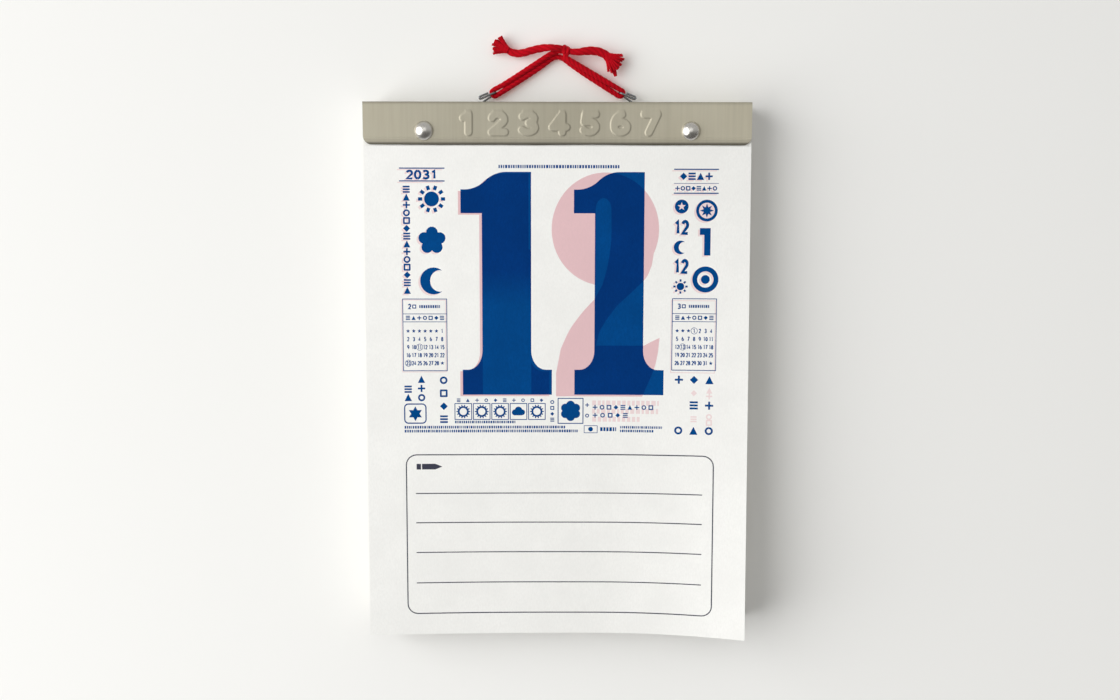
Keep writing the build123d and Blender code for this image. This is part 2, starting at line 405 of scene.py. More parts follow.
def emboss_height(x, z):
    """Height of the bar's raised figures: a rounded step up within half a line's width of a figure's line."""
    far = np.full(x.shape, 1e3)
    high, width, pitch, foot, middle = 9.2, 7.2, 14.3, BAR_TOP - 14.55, 0.9
    for i, figure in enumerate("1234567"):
        left = middle + (i - 3) * pitch - width / 2
        for line in FIGURES[figure]:
            p = np.stack([left + line[:, 0] * width / FIGURE_W, foot + line[:, 1] * high], axis=1)
            for a, b in zip(p[:-1], p[1:]):
                run = b - a
                t = np.clip(((x - a[0]) * run[0] + (z - a[1]) * run[1]) / (run @ run), 0, 1)
                far = np.minimum(far, np.hypot(x - a[0] - t * run[0], z - a[1] - t * run[1]))
    half_line, bevel, rise = 1.75, 0.38, 0.28
    step = np.clip((half_line - far) / bevel + 0.5, 0, 1)
    return rise * step * step * (3 - 2 * step)


def bar_upper():
    """The bar's profile from its back flange's foot over the top into the front: its points and normals."""
    turn = np.radians(np.linspace(0, 90, 6))
    flange = [(BACK_OUT, z) for z in np.linspace(BAR_TOP - BACK_DROP, BAR_TOP - BEND, 5, endpoint=False)]
    rear = np.stack([BACK_OUT - BEND * (1 - np.cos(turn)), BAR_TOP - BEND * (1 - np.sin(turn))], axis=1)
    top = [(y, BAR_TOP) for y in np.linspace(BACK_OUT - BEND, PLATE_OUT + BEND, 10)[1:-1]]
    fore = np.stack([PLATE_OUT + BEND * (1 - np.sin(turn)), BAR_TOP - BEND * (1 - np.cos(turn))], axis=1)
    rear_out = np.stack([np.cos(turn), np.sin(turn)], axis=1)
    fore_out = np.stack([-np.sin(turn), np.cos(turn)], axis=1)
    normals = path([(1, 0)] * len(flange), rear_out, [(0, 1)] * len(top), fore_out)
    return path(flange, rear, top, fore), normals


def header_bar():
    """Folded sheet: a profile of back flange, top and front run along X. The front's lower corners are
    rounded, its lower lip rolls in below a fine crease, slight waves run along it, and the raised figures are
    added to its depth. The grid is finer where the figures are."""
    ends = HALF - CORNER_R + CORNER_R * np.sin(np.radians(np.linspace(8, 90, 10)))
    figures_end = 49.6
    plain = np.linspace(figures_end, HALF - CORNER_R, 32)[1:-1]
    fine = np.linspace(-figures_end, figures_end, 361)
    x = np.concatenate([-ends[::-1], -plain[::-1], fine, plain, ends])
    inset = np.clip(np.abs(x) - (HALF - CORNER_R), 0, CORNER_R)
    foot = BAR_BOTTOM + CORNER_R - np.sqrt(CORNER_R**2 - inset**2)
    foot = foot + 0.10 * (1 + np.sin(0.093 * x) * np.sin(0.031 * x + 1.0))
    upper, upper_out = bar_upper()
    start = BAR_TOP - BEND
    front_z = np.concatenate([
        np.linspace(start - 0.3, BAR_TOP - 4.7, 6),
        np.linspace(BAR_TOP - 5.0, BAR_TOP - 16.6, 44),
        np.linspace(BAR_TOP - 16.8, BAR_BOTTOM, 22),
    ])
    share = ((front_z - start) / (BAR_BOTTOM - start))[:, None]
    z = start + share * (foot - start)
    lip = np.clip((CREASE - z) / LIP_H, 0, 1)
    rolled = LIP_IN * (0.2 * lip + 0.8 * lip**5)
    crease = 0.09 * np.exp(-(((z - CREASE) / 0.25) ** 2))
    wave = 0.05 * np.sin(x * 0.083 + 1.0) * np.sin((z - BAR_TOP) * 0.16) * (1 - lip)
    wide = np.broadcast_to(x, z.shape)
    front = np.stack([wide, PLATE_OUT + rolled + crease + wave - emboss_height(wide, z), z], axis=-1)
    over = np.stack([np.broadcast_to(v, (len(x), len(upper))).T for v in upper.T], axis=-1)
    over = np.concatenate([np.broadcast_to(x, over.shape[:2])[..., None], over], axis=-1)
    outer = np.concatenate([over, front])
    normal = path(upper_out, [(-1, 0)] * len(front))
    inner = outer.copy()
    inner[..., 1:] -= PLATE_T * normal[:, None, :]
    rows, cols = outer.shape[:2]
    count = rows * cols
    rim = grid_rim(rows, cols)
    following = np.roll(rim, -1)
    edge = np.stack([rim, following, following + count, rim + count], axis=1)
    faces = np.concatenate([grid_faces(rows, cols), grid_faces(rows, cols, start=count)[:, ::-1], edge])
    verts = np.concatenate([outer.reshape(-1, 3), inner.reshape(-1, 3)])
    bar = mesh_piece("embossed_header_bar", verts, faces, [MATERIALS["bar"]])
    bar.data.set_sharp_from_angle(angle=math.radians(50))
    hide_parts("header_bar")
    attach(bar, "pad")


# The print: closed outlines on the page, in millimetres, later ones on top

def stroke(points, width):
    """The outline of a line of that width: its points moved to both sides along the runs' mean normals."""
    p = np.asarray(points, float)
    run = np.diff(p, axis=0)
    run /= np.linalg.norm(run, axis=1, keepdims=True)
    normal = np.stack([-run[:, 1], run[:, 0]], axis=1)
    mean = np.concatenate([normal[:1], normal[:-1] + normal[1:], normal[-1:]])
    mean /= np.linalg.norm(mean, axis=1, keepdims=True)
    near = np.concatenate([normal, normal[-1:]])
    reach = np.minimum(1 / np.maximum((mean * near).sum(axis=1), 0.3), 1.6)[:, None] * width / 2
    return np.concatenate([p + mean * reach, (p - mean * reach)[::-1]])


def row(x0, x1, z, count):
    """Evenly spaced places along X."""
    return [(x, z) for x in np.linspace(x0, x1, count)]


def column(x, z0, z1, count):
    """Evenly spaced places down the page."""
    return [(x, z) for z in np.linspace(z0, z1, count)]


class Print:
    """Collects the outlines of one page's print; shift moves what is added next."""

    def __init__(self):
        """A page with no print yet."""
        self.shapes = []
        self.shift = (0.0, 0.0)

    def area(self, layer, points):
        """Adds an outline, its long runs divided so that it follows the curled page."""
        p = np.asarray(points, float) + self.shift
        run = np.roll(p, -1, axis=0) - p
        parts = np.ceil(np.linalg.norm(run, axis=1) / 4.0).astype(int).clip(1)
        which = np.repeat(np.arange(len(p)), parts)
        share = (np.arange(parts.sum()) - np.repeat(np.cumsum(parts) - parts, parts)) / parts[which]
        self.shapes.append((layer, p[which] + share[:, None] * run[which]))

    def line(self, layer, points, width):
        """A line of that width through points."""
        self.area(layer, stroke(points, width))

    def rect(self, layer, x0, z0, x1, z1):
        """A filled box from its lower left to its upper right corner."""
        self.area(layer, [(x0, z0), (x1, z0), (x1, z1), (x0, z1)])

    def rule(self, layer, x0, x1, z, width):
        """A level line."""
        self.rect(layer, x0, z - width / 2, x1, z + width / 2)

    def disc(self, layer, x, z, r, n=20):
        """A filled circle of n points."""
        self.area(layer, arc(x, z, r, r, 0, 360, n + 1)[:-1])

    def ring(self, layer, x, z, r, width, n=13):
        """A circle's line in two halves that overlap a little."""
        for a in (0, 180):
            self.line(layer, arc(x, z, r, r, a - 4, a + 184, n), width)

    def frame(self, layer, x0, z0, x1, z1, width, r=0.05):
        """A box's outline in two halves, with round corners of radius r."""
        middle, n = (x0 + x1) / 2, 7 if r > 0.3 else 2
        head, foot = [(middle, z1)], [(middle, z0)]
        low_left, high_left = (x0 + r, z0 + r, r, r), (x0 + r, z1 - r, r, r)
        low_right, high_right = (x1 - r, z0 + r, r, r), (x1 - r, z1 - r, r, r)
        left = path(head, arc(*high_left, 90, 180, n), arc(*low_left, 180, 270, n), foot)
        right = path(foot, arc(*low_right, 270, 360, n), arc(*high_right, 0, 90, n), head)
        self.line(layer, left, width)
        self.line(layer, right, width)

    def number(self, layer, text, x, z, high, width, weight):
        """A number centred at x, z, in plain figures; a closed line is drawn in two halves."""
        step = width * 1.28
        left = x - (step * (len(text) - 1) + width) / 2
        for i, figure in enumerate(text):
            for run in FIGURES[figure]:
                p = run * (width / FIGURE_W, high) + (left + i * step, z - high / 2)
                half = len(p) // 2 + 1
                closed = np.allclose(run[0], run[-1], atol=0.02)
                for part in (p[:half], p[half - 1 :]) if closed else (p,):
                    self.line(layer, part, weight)

    def dashes(self, layer, x0, x1, z, high, low=0.8, most=2.4, gap=0.45):
        """A row of short bars of mixed length in place of a line of small words."""
        x = x0
        while x < x1 - 0.3:
            end = min(x + RNG.uniform(low, most), x1)
            self.rule(layer, x, end, z, high)
            x = end + gap

    def sign(self, layer, kind, x, z, size):
        """One plain sign: a ring, cross, triangle, three bars, diamond or box."""
        h, w = size / 2, 0.12 * size
        if kind == 0:
            self.ring(layer, x, z, h - w, 2 * w, 9)
        elif kind == 1:
            self.rect(layer, x - w, z - h, x + w, z + h)
            self.rule(layer, x - h, x + h, z, 2 * w)
        elif kind == 2:
            self.area(layer, [(x - h, z - h), (x + h, z - h), (x, z + h)])
        elif kind == 3:
            for up in (-0.76, 0.0, 0.76):
                self.rule(layer, x - h, x + h, z + up * h, 2 * w)
        elif kind == 4:
            self.area(layer, [(x - h, z), (x, z - h), (x + h, z), (x, z + h)])
        else:
            self.frame(layer, x - h + w, z - h + w, x + h - w, z + h - w, 2 * w)

    def signs(self, layer, places, size):
        """A run of signs in place of a line of words; where it begins settles which sign comes first."""
        for k, (x, z) in enumerate(places):
            self.sign(layer, (5 * k + int(3 * abs(places[0][0]))) % 6, x, z, size)

    def rays(self, layer, x, z, r0, r1, count, width):
        """Short lines round a middle, from radius r0 to r1."""
        for a in np.linspace(0, 2 * math.pi, count, endpoint=False):
            way = np.array([math.cos(a), math.sin(a)])
            self.line(layer, [(x, z) + r0 * way, (x, z) + r1 * way], width)

    def cloud(self, layer, x, z, r):
        """A cloud of three discs on a flat foot."""
        for across, up, share in ((-0.5, -0.1, 0.42), (0.0, 0.2, 0.52), (0.5, -0.08, 0.4)):
            self.disc(layer, x + across * r, z + up * r, share * r, n=12)
        self.rect(layer, x - 0.5 * r, z - 0.5 * r, x + 0.5 * r, z)

    def star(self, layer, x, z, r, points=5, inner=0.42):
        """A star whose outline goes in and out between r and the inner share of it."""
        turn = np.radians(90 + np.arange(2 * points) * 180 / points)
        reach = np.where(np.arange(2 * points) % 2 == 0, r, inner * r)
        self.area(layer, np.stack([x + reach * np.cos(turn), z + reach * np.sin(turn)], axis=1))

    def crescent(self, layer, x, z, r):
        """A crescent between a circle's arc and a narrower ellipse's arc to its right."""
        outer = arc(x, z, r, r, 50, 310, 21)
        inner = arc(x + 0.46 * r, z, 0.72 * r, 0.80 * r, 287, 73, 15)
        self.area(layer, path(outer, inner))

    def flower(self, layer, x, z, r, petals=5):
        """A flower of round petals about a round middle."""
        for a in math.pi / 2 + np.linspace(0, 2 * math.pi, petals, endpoint=False):
            self.disc(layer, x + 0.58 * r * math.cos(a), z + 0.58 * r * math.sin(a), 0.42 * r, n=14)
        self.disc(layer, x, z, 0.3 * r, n=12)


# Places that the print shares with what shows through it
FIRST_ONE, SECOND_ONE, TWO = -12.3, 41.2, -2.5
LEFT_MONTH, RIGHT_MONTH = (-73.4, -52.5), (54.9, 75.7)


def big_one(page, layer, x):
    """A large slab-footed figure 1 whose stem's right side is at x."""
    left = x - 23.3
    flag = 14.25
    page.area(layer, path(
        [(x, -53.7), (x, -138.3)],
        arc(x + 7.0, -138.3, 7.0, 9.2, 180, 270),
        [(x + 9.9, -147.5), (x + 9.9, -159.6), (left - 9.5, -159.6), (left - 9.5, -147.5)],
        arc(left - 7.0, -138.3, 7.0, 9.2, 270, 360),
        [(left, -73.0), (left - 10.0, -73.0), (left - 10.0, -61.9)],
        arc(left - 8.4, -61.9 + flag, flag, flag, 270, 314.6),
        arc(x - 11.7, -53.7 - flag, flag, flag, 134.6, 90),
    ))


def big_two(page, layer, x):
    """A large heavy figure 2 whose left side is at x: a round head with a narrow opening, a swung neck and a
    flat foot."""
    page.area(layer, path(
        arc(x + 25.3, -80.5, 25.4, 26.6, 258, -25, 49),
        smooth([(x + 47.4, -97.5), (x + 44.9, -103.2), (x + 39.5, -108.8), (x + 30.9, -116.9)]),
        smooth([(x + 26.0, -123.5), (x + 22.8, -129.3), (x + 21.2, -135.8)]),
        smooth([(x + 44.0, -135.8), (x + 47.6, -133.9), (x + 51.5, -131.9)]),
        smooth([(x + 50.8, -139.0), (x + 49.0, -147.0), (x + 43.5, -160.4)]),
        [(x + 2.1, -160.4), (x + 2.1, -149.3)],
        smooth([(x + 4.3, -137.5), (x + 8.6, -128.2), (x + 14.5, -120.0), (x + 20.1, -113.9)]),
        smooth([(x + 24.0, -106.9), (x + 26.5, -97.6), (x + 28.1, -85.3), (x + 28.1, -71.5)]),
        arc(x + 24.4, -71.0, 3.7, 5.2, 0, 180),
        [(x + 20.7, -106.8)],
    ))


def month(page, layer, x0, x1, z1, z0, days, first, marked, title):
    """A small month box: a title line, seven column heads, its days' numbers and stars in empty places."""
    head, names = z1 - 7.1, z1 - 10.9
    page.frame(layer, x0, z0, x1, z1, 0.38)
    page.rule(layer, x0, x1, head, 0.30)
    page.rule(layer, x0, x1, names, 0.30)
    middle = (x0 + x1) / 2
    page.number(layer, title, middle - 7.2, z1 - 3.6, 2.3, 1.3, 0.6)
    page.sign(layer, 5, middle - 5.0, z1 - 3.6, 1.9)
    page.dashes(layer, middle - 2.6, x1 - 3.2, z1 - 3.6, 1.4, 0.5, 0.9, 0.3)
    left = x0 + 2.4
    pitch = (x1 - x0 - 4.7) / 6
    page.signs(layer, row(left, left + 6 * pitch, (head + names) / 2, 7), 2.0)
    for cell in range(35):
        x = left + cell % 7 * pitch
        z = names - 4.4 - cell // 7 * 3.86
        day = cell - first + 1
        if 1 <= day <= days:
            page.number(layer, str(day), x, z, 1.9, 0.82, 0.44)
        else:
            page.star(layer, x, z, 0.95, inner=0.5)
        if day in marked:
            page.ring(layer, x, z, 1.5, 0.24)


def left_column(page, layer):
    """Year between two rules, three day pictures and a column of signs."""
    for z in (-52.05, -58.0):
        page.rule(layer, -74.4, -53.0, z, 0.55)
    page.number(layer, "2031", -63.7, -55.05, 4.0, 3.0, 1.05)
    page.disc(layer, -59.2, -66.4, 3.5, n=22)
    page.rays(layer, -59.2, -66.4, 4.4, 6.4, 10, 1.6)
    page.flower(layer, -59.2, -85.9, 6.6)
    page.crescent(layer, -58.6, -105.0, 6.4)
    page.signs(layer, column(-71.1, -61.9, -109.5, 14), 3.3)


def right_column(page, layer, bare):
    """Rules with rows of signs, two discs, small numbers and pictures, a bold 1 and a ring."""
    for z, width in ((-52.35, 0.55), (-58.9, 0.25), (-63.5, 0.55)):
        page.rule(layer, 54.9, 76.0, z, width)
    page.signs(layer, row(59.4, 71.4, -55.6, 4), 3.4)
    page.signs(layer, row(56.6, 74.2, -61.2, 8), 2.1)
    page.disc(layer, 58.7, -69.7, 3.25, n=24)
    page.star(bare, 58.7, -69.7, 2.0)
    page.disc(layer, 70.6, -71.6, 5.1, n=32)
    page.disc(bare, 70.6, -71.6, 3.7, n=28)
    page.star(layer, 70.6, -71.6, 3.3, 8, 0.5)
    for z in (-79.5, -97.9):
        page.number(layer, "12", 58.7, z, 6.3, 2.8, 1.45)
    page.crescent(layer, 58.4, -88.9, 3.2)
    page.disc(layer, 58.6, -107.4, 1.8, n=14)
    page.rays(layer, 58.6, -107.4, 2.3, 3.4, 8, 0.9)
    stem, flag = [(72.5, -79.8), (72.5, -92.7), (69.5, -92.7), (69.5, -83.0)], [(67.4, -83.0)]
    page.area(layer, [(67.4, -79.8)] + stem + flag)
    page.ring(layer, 70.3, -104.0, 5.0, 2.3, 19)
    page.disc(layer, 70.3, -104.0, 2.1, n=16)


def lower_strip(page, layer):
    """Signs below the month boxes, five weather boxes, a framed flower, small lines and a mark in a box."""
    fine = (0.4, 0.9, 0.35)
    page.signs(layer, column(-71.3, -156.9, -160.9, 2), 3.5)
    page.signs(layer, column(-64.9, -152.1, -161.0, 3), 3.5)
    page.signs(layer, column(-54.3, -152.6, -171.5, 4), 3.7)
    page.frame(layer, -73.1, -173.4, -62.9, -164.1, 0.6, 1.8)
    page.star(layer, -68.0, -168.8, 3.6, 6, 0.55)
    for k in range(5):
        x = -45.0 + 8.85 * k
        page.frame(layer, x - 4.0, -171.7, x + 4.0, -163.9, 0.40)
        page.signs(layer, row(x - 2.2, x + 2.2, -162.3, 2), 1.7)
        if k == 3:
            page.cloud(layer, x, -167.9, 3.5)
        else:
            page.ring(layer, x, -167.8, 2.2, 0.9)
            page.rays(layer, x, -167.8, 2.5, 3.3, 14, 0.55)
    page.dashes(layer, -49.0, -20.0, -172.9, 1.2, *fine)
    page.frame(layer, 0.6, -173.6, 12.6, -161.4, 0.45)
    page.flower(layer, 6.6, -167.5, 5.0, 6)
    page.signs(layer, column(-2.2, -163.2, -171.8, 4), 1.9)
    page.signs(layer, column(14.6, -164.6, -169.8, 2), 1.9)
    page.signs(layer, row(18.4, 45.2, -165.7, 9), 2.3)
    page.signs(layer, row(18.4, 33.0, -169.6, 5), 2.3)
    page.dashes(layer, -73.2, 4.0, -175.4, 1.3, *fine)
    page.dashes(layer, -73.2, 10.4, -177.3, 1.3, *fine)
    page.frame(layer, 13.2, -178.2, 19.5, -174.7, 0.30)
    page.disc(layer, 16.3, -176.4, 1.15, n=14)
    page.dashes(layer, 20.9, 28.6, -176.4, 1.9, 0.7, 1.4, 0.4)
    for z, x1 in ((-175.4, 51.0), (-177.2, 46.5)):
        page.dashes(layer, 30.5, x1, z, 1.2, *fine)
    three = (-152.0, -164.3, -176.6)
    for x, places in ((58.4, three[::2]), (65.6, three), (72.9, three)):
        page.signs(layer, [(x, z) for z in places], 3.9)


def memo_box(page, layer):
    """A round-cornered box with four lines, and a small pencil in its upper left corner."""
    page.frame(layer, -72.6, -267.8, 75.3, -188.9, 0.55, 5.0)
    for z in (-207.9, -222.4, -237.2, -252.4):
        page.rule(layer, -68.2, 70.2, z, 0.50)
    page.rect(layer, -67.7, -196.1, -65.6, -193.3)
    page.area(layer, [(-65.1, -196.1), (-58.7, -196.1), (-55.3, -194.7), (-58.7, -193.3), (-65.1, -193.3)])


def full_print(page, second_figure):
    """The whole page in its own inks."""
    big_one(page, "ink", FIRST_ONE)
    second_figure(page)
    left_column(page, "ink")
    right_column(page, "ink", "bare")
    month(page, "ink", *LEFT_MONTH, -113.6, -148.0, 28, 6, (11, 23), "2")
    month(page, "ink", *RIGHT_MONTH, -113.2, -147.4, 31, 3, (1, 13), "3")
    page.dashes("ink", -27.6, 29.6, -51.2, 1.5, 0.5, 1.1, 0.4)
    lower_strip(page, "ink")
    memo_box(page, "line")


def today_print():
    """Day 11 in blue, with the next page's red 12 painted on as show-through, a little to the left and lower.
    """
    page = Print()
    full_print(page, lambda p: big_one(p, "ink", SECOND_ONE))
    page.shift = (-1.2, -0.75)
    big_one(page, "ghost", FIRST_ONE)
    page.shift = (0.0, 0.0)
    big_two(page, "ghost", TWO)
    page.rect("fading", -35.5, -159.5, FIRST_ONE, -90.0)
    page.shift = (-0.9, -0.7)
    left_column(page, "faint")
    right_column(page, "faint", "faint")
    page.shift = (0.0, 0.0)
    for x0, x1 in (LEFT_MONTH, RIGHT_MONTH):
        page.frame("faint", x0 - 0.5, -148.6, x1 - 0.5, -114.1, 0.4)
    for z, x1 in ((-163.6, 49.0), (-167.6, 49.0), (-171.5, 40.0)):
        page.dashes("faint", 17.0, x1, z, 2.4, 1.0, 2.2, 0.7)
    for x, places in ((65.6, (-158.4, -171.0)), (72.9, (-157.0, -159.8, -169.8, -172.6))):
        page.signs("faint", [(x, z) for z in places], 2.9)
    return page


def tomorrow_print():
    """Day 12 in red."""
    page = Print()
    full_print(page, lambda p: big_two(p, "ink", TWO))
    return page


# Leaves

# A page's inks and its painted show-through, in the order of its materials
PAPER, SHOWN, INK, DEEP, LINE, FAINT, FADING = range(7)


def leaf_lift(x, z, z_high, rise):
    """How far forwards a leaf stands: parabolas to both sides of CURL_X and a slight ripple, which grow
    evenly from its bend to its foot."""
    reach = np.where(x < CURL_X, CURL_X + HALF, HALF - CURL_X)
    high = np.where(x < CURL_X, CURL_LEFT, CURL_RIGHT)
    down = np.clip((z_high - z) / (z_high - LOW), 0, 1)
    ripple = 0.5 + 0.5 * np.sin(x * 0.071 + 0.8) * np.sin(z * 0.043)
    return rise * (high * ((x - CURL_X) / reach) ** 2 * down + 0.22 * ripple * down)


def inside(points, loop):
    """Which points lie in a closed outline, by how often it winds round them."""
    a, b = loop, np.roll(loop, -1, axis=0)
    x, z = points[:, :1], points[:, 1:]
    rise = np.where(b[:, 1] == a[:, 1], 1.0, b[:, 1] - a[:, 1])
    left = x < a[:, 0] + (z - a[:, 1]) * (b[:, 0] - a[:, 0]) / rise
    up = (a[:, 1] <= z) & (b[:, 1] > z) & left
    down = (a[:, 1] > z) & (b[:, 1] <= z) & left
    return up.sum(axis=1) != down.sum(axis=1)


def cut_page(page, z_high, bend_z):
    """The flat page cut into triangles along its print's outlines: its points, triangles and their inks.
    Points are added on an even grid, and closer together within a short way of its bend."""
    near_bend = 6.0
    whole = np.array([(-HALF, LOW), (HALF, LOW), (HALF, z_high), (-HALF, z_high)])
    loops = [whole] + [p for _, p in page.shapes]
    starts = np.cumsum([0] + [len(p) for p in loops])
    spans = [np.arange(a, b) for a, b in zip(starts[:-1], starts[1:])]
    edges = np.concatenate([np.stack([span, np.roll(span, -1)], axis=1) for span in spans])
    even = np.meshgrid(np.linspace(-HALF, HALF, 45), np.linspace(LOW, z_high, 60))
    bend_rows = np.linspace(bend_z - near_bend, min(bend_z + near_bend, z_high), 12)
    bent = np.meshgrid(np.linspace(-HALF, HALF, 30), bend_rows)
    loose = [np.stack([x.ravel(), z.ravel()], axis=1) for x, z in (even, bent)]
    points = [Vector(p) for p in np.concatenate(loops + loose)]
    found = delaunay_2d_cdt(points, edges.tolist(), [], 0, 1e-4, False)
    flat, tris = np.array([tuple(v) for v in found[0]]), np.array(found[2])
    middle = flat[tris].mean(axis=1)
    shown, printed = np.full(len(tris), PAPER), np.full(len(tris), PAPER)
    for layer, p in page.shapes:
        near = np.flatnonzero(((middle >= p.min(axis=0)) & (middle <= p.max(axis=0))).all(axis=1))
        hit = near[inside(middle[near], p)]
        if layer == "faint":
            shown[hit[shown[hit] == PAPER]] = FAINT
        elif layer in ("ghost", "fading"):
            shown[hit] = SHOWN if layer == "ghost" else FADING
        else:
            printed[hit] = {"bare": PAPER, "ink": INK, "line": LINE}[layer]
    bare = np.where(shown == FADING, SHOWN, shown)
    covered = np.select([shown == SHOWN, shown == FADING], [DEEP, FADING], INK)
    return flat, tris, np.select([printed == PAPER, printed == INK], [bare, covered], printed)


def printed_leaf(name, page, face_y, bend_z, rise, colours, back_colours):
    """A closed thin curled sheet: the flat cut page moved forwards by its lift, its back a sheet's thickness
    behind it, with each ink as a group of faces."""
    flat, tris, inks = cut_page(page, LEAF_TOP, bend_z)
    x, z = flat.T
    n = len(flat)
    front = np.stack([x, face_y - leaf_lift(x, z, bend_z, rise), z], axis=1)
    back = front + (0.0, SHEET_T, 0.0)
    runs = np.concatenate([tris[:, [0, 1]], tris[:, [1, 2]], tris[:, [2, 0]]])
    _, first, uses = np.unique(np.sort(runs, axis=1), axis=0, return_index=True, return_counts=True)
    a, b = runs[first[uses == 1]].T
    rim = np.concatenate([np.stack([b, a, a + n], axis=1), np.stack([b, a + n, b + n], axis=1)])
    faces = np.concatenate([tris, tris[:, ::-1] + n, rim])
    # Painted show-through on the back: behind each ink the back takes its show-through colour
    shown_behind = len(colours) + np.isin(inks, (INK, DEEP, LINE, FADING))
    index = np.concatenate([inks, shown_behind, np.zeros(len(rim), int)])
    mats = [MATERIALS[c] for c in colours + back_colours]
    leaf = mesh_piece(name, np.concatenate([front, back]), faces, mats, index, outward=False)
    slope_x = leaf_lift(x + 0.5, z, bend_z, rise) - leaf_lift(x - 0.5, z, bend_z, rise)
    slope_z = leaf_lift(x, z + 0.5, bend_z, rise) - leaf_lift(x, z - 0.5, bend_z, rise)
    normal = np.stack([-slope_x, -np.ones(n), -slope_z], axis=1)
    normal /= np.linalg.norm(normal, axis=1, keepdims=True)
    leaf.data.normals_split_custom_set_from_vertices(np.concatenate([normal, -normal]).tolist())
    return leaf


def leaves():
    """Today's page, which bends between its clamped strip and its leaf, and tomorrow's page behind it."""
    blue = ["paper", "pink", "blue", "blue_deep", "grey", "faint", "blue_fading"]
    today = printed_leaf("today_page", today_print(), TODAY_FACE, FOLD, 1.0, blue, ["back", "blue_back"])
    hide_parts("today_strip", "today_leaf")
    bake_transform(today)
    red = ["paper", "pink", "red", "red", "grey", "faint", "red"]
    tomorrow = printed_leaf(
        "tomorrow_page", tomorrow_print(), TOMORROW_FACE, LEAF_TOP, TOMORROW_SHARE, red, ["back", "red_back"]
    )
    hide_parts("tomorrow_leaf")
    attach(tomorrow, "tomorrow_leaf")


# The cord

LOOP = [
    (2.65, -3.89, 4.29),
    (-0.3, -3.7, 4.8),
    (-8.94, -3.48, -0.83),
    (-25.1, -3.06, -11.2),
    (-28.65, -2.97, -12.91),
    (-32.2, -2.88, -14.8),
    (-30.6, -2.88, -17.6),
    (-27.28, -2.75, -15.31),
    (-8.33, -2.02, -3.34),
    (0.0, -1.7, 3.4),
    (8.33, -2.02, -3.34),
    (27.28, -2.75, -15.31),
    (30.6, -2.88, -17.6),
    (32.2, -2.88, -14.8),
    (28.61, -3.05, -13.02),
    (6.12, -4.17, -0.22),
    (3.5, -4.3, 1.2),
    (3.9, -4.2, 3.97),
]
LEFT_TAIL = [
    (3.5, -5.2, 5.2),
    (-1.5, -7.5, 5.4),
    (-6.5, -5.8, 5.5),
    (-12.0, -4.6, 4.5),
    (-18.5, -3.4, 2.7),
    (-23.8, -2.6, 4.2),
    (-28.6, -2.2, 8.0),
]
RIGHT_TAIL = [
    (3.2, -4.9, 4.5),
    (8.5, -5.6, 3.2),
    (14.5, -5.2, 4.3),
    (20.5, -4.6, 4.0),
    (25.4, -4.0, 0.8),
    (28.0, -3.6, -7.6),
]
KNOT = np.array((3.9, -4.2, 4.6))


def spline_points(name, route):
    """Points read from the NURBS spline whose control points are the route, as the curve's own mesh."""
    curve = bpy.data.curves.new(name, "CURVE")
    curve.dimensions = "3D"
    curve.resolution_u = 24
    spline = curve.splines.new("NURBS")
    spline.points.add(len(route) - 1)
    weighted = np.concatenate([np.array(route, float), np.ones((len(route), 1))], axis=1)
    spline.points.foreach_set("co", weighted.ravel())
    spline.order_u = 3
    spline.use_endpoint_u = True
    holder = bpy.data.objects.new(name, curve)
    bpy.context.scene.collection.objects.link(holder)
    mesh = bpy.data.meshes.new_from_object(holder)
    points = np.empty(len(mesh.vertices) * 3)
    mesh.vertices.foreach_get("co", points)
    bpy.data.objects.remove(holder)
    bpy.data.meshes.remove(mesh)
    return points.reshape(-1, 3)


def evenly(points, step=0.3):
    """The same line with points about one step apart, and how far along it each one is."""
    far = np.concatenate([[0], np.cumsum(np.linalg.norm(np.diff(points, axis=0), axis=1))])
    at = np.linspace(0, far[-1], max(int(far[-1] / step), 4))
    return np.stack([np.interp(at, far, points[:, k]) for k in range(3)], axis=1), at


def plied(points, radius, plies, twist, flat=1.0, sides=24, reference=(0, 1, 0)):
    """A yarn tube: a ring at each point whose radius swells at each ply, the plies turning once per twist
    length. radius is a number or a function of the line's points and distances. Returns the points, the faces
    and how far each point stands out of the grooves."""
    line, at = evenly(points)
    tangent = np.gradient(line, axis=0)
    tangent /= np.linalg.norm(tangent, axis=1, keepdims=True)
    across = np.cross(np.broadcast_to(reference, tangent.shape), tangent)
    across /= np.linalg.norm(across, axis=1, keepdims=True)
    up = np.cross(tangent, across)
    around = np.linspace(0, 2 * np.pi, sides, endpoint=False)
    phase = around[None, :] - (at / twist * 2 * np.pi)[:, None]
    swell = np.abs(np.cos(plies / 2 * phase))
    thick = radius(line, at) if callable(radius) else np.full(len(at), radius)
    size = thick[:, None] * (0.88 + 0.13 * swell)
    wide = np.cos(around)[None, :, None] * across[:, None, :]
    high = flat * np.sin(around)[None, :, None] * up[:, None, :]
    verts = (line[:, None, :] + size[..., None] * (wide + high)).reshape(-1, 3)
    rows = len(line)
    ends = [list(range(sides)), list(range((rows - 1) * sides, rows * sides))]
    faces = grid_faces(rows, sides, around=True).tolist() + ends
    return verts, faces, swell.ravel()


def yarn_piece(name, tubes, node=None):
    """One mesh of several yarn tubes, with their grooves as an attribute, in place of a CAD node."""
    verts, faces, grooves, start = [], [], [], 0
    for tube_verts, tube_faces, tube_grooves in tubes:
        verts.append(tube_verts)
        faces += [[i + start for i in face] for face in tube_faces]
        grooves.append(tube_grooves)
        start += len(tube_verts)
    piece = mesh_piece(name, np.concatenate(verts), faces, [MATERIALS["yarn"]])
    groove = piece.data.attributes.new("groove", "FLOAT", "POINT")
    groove.data.foreach_set("value", np.concatenate(grooves).astype(np.float32))
    if node:
        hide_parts(node)
    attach(piece, "pad")
    return piece


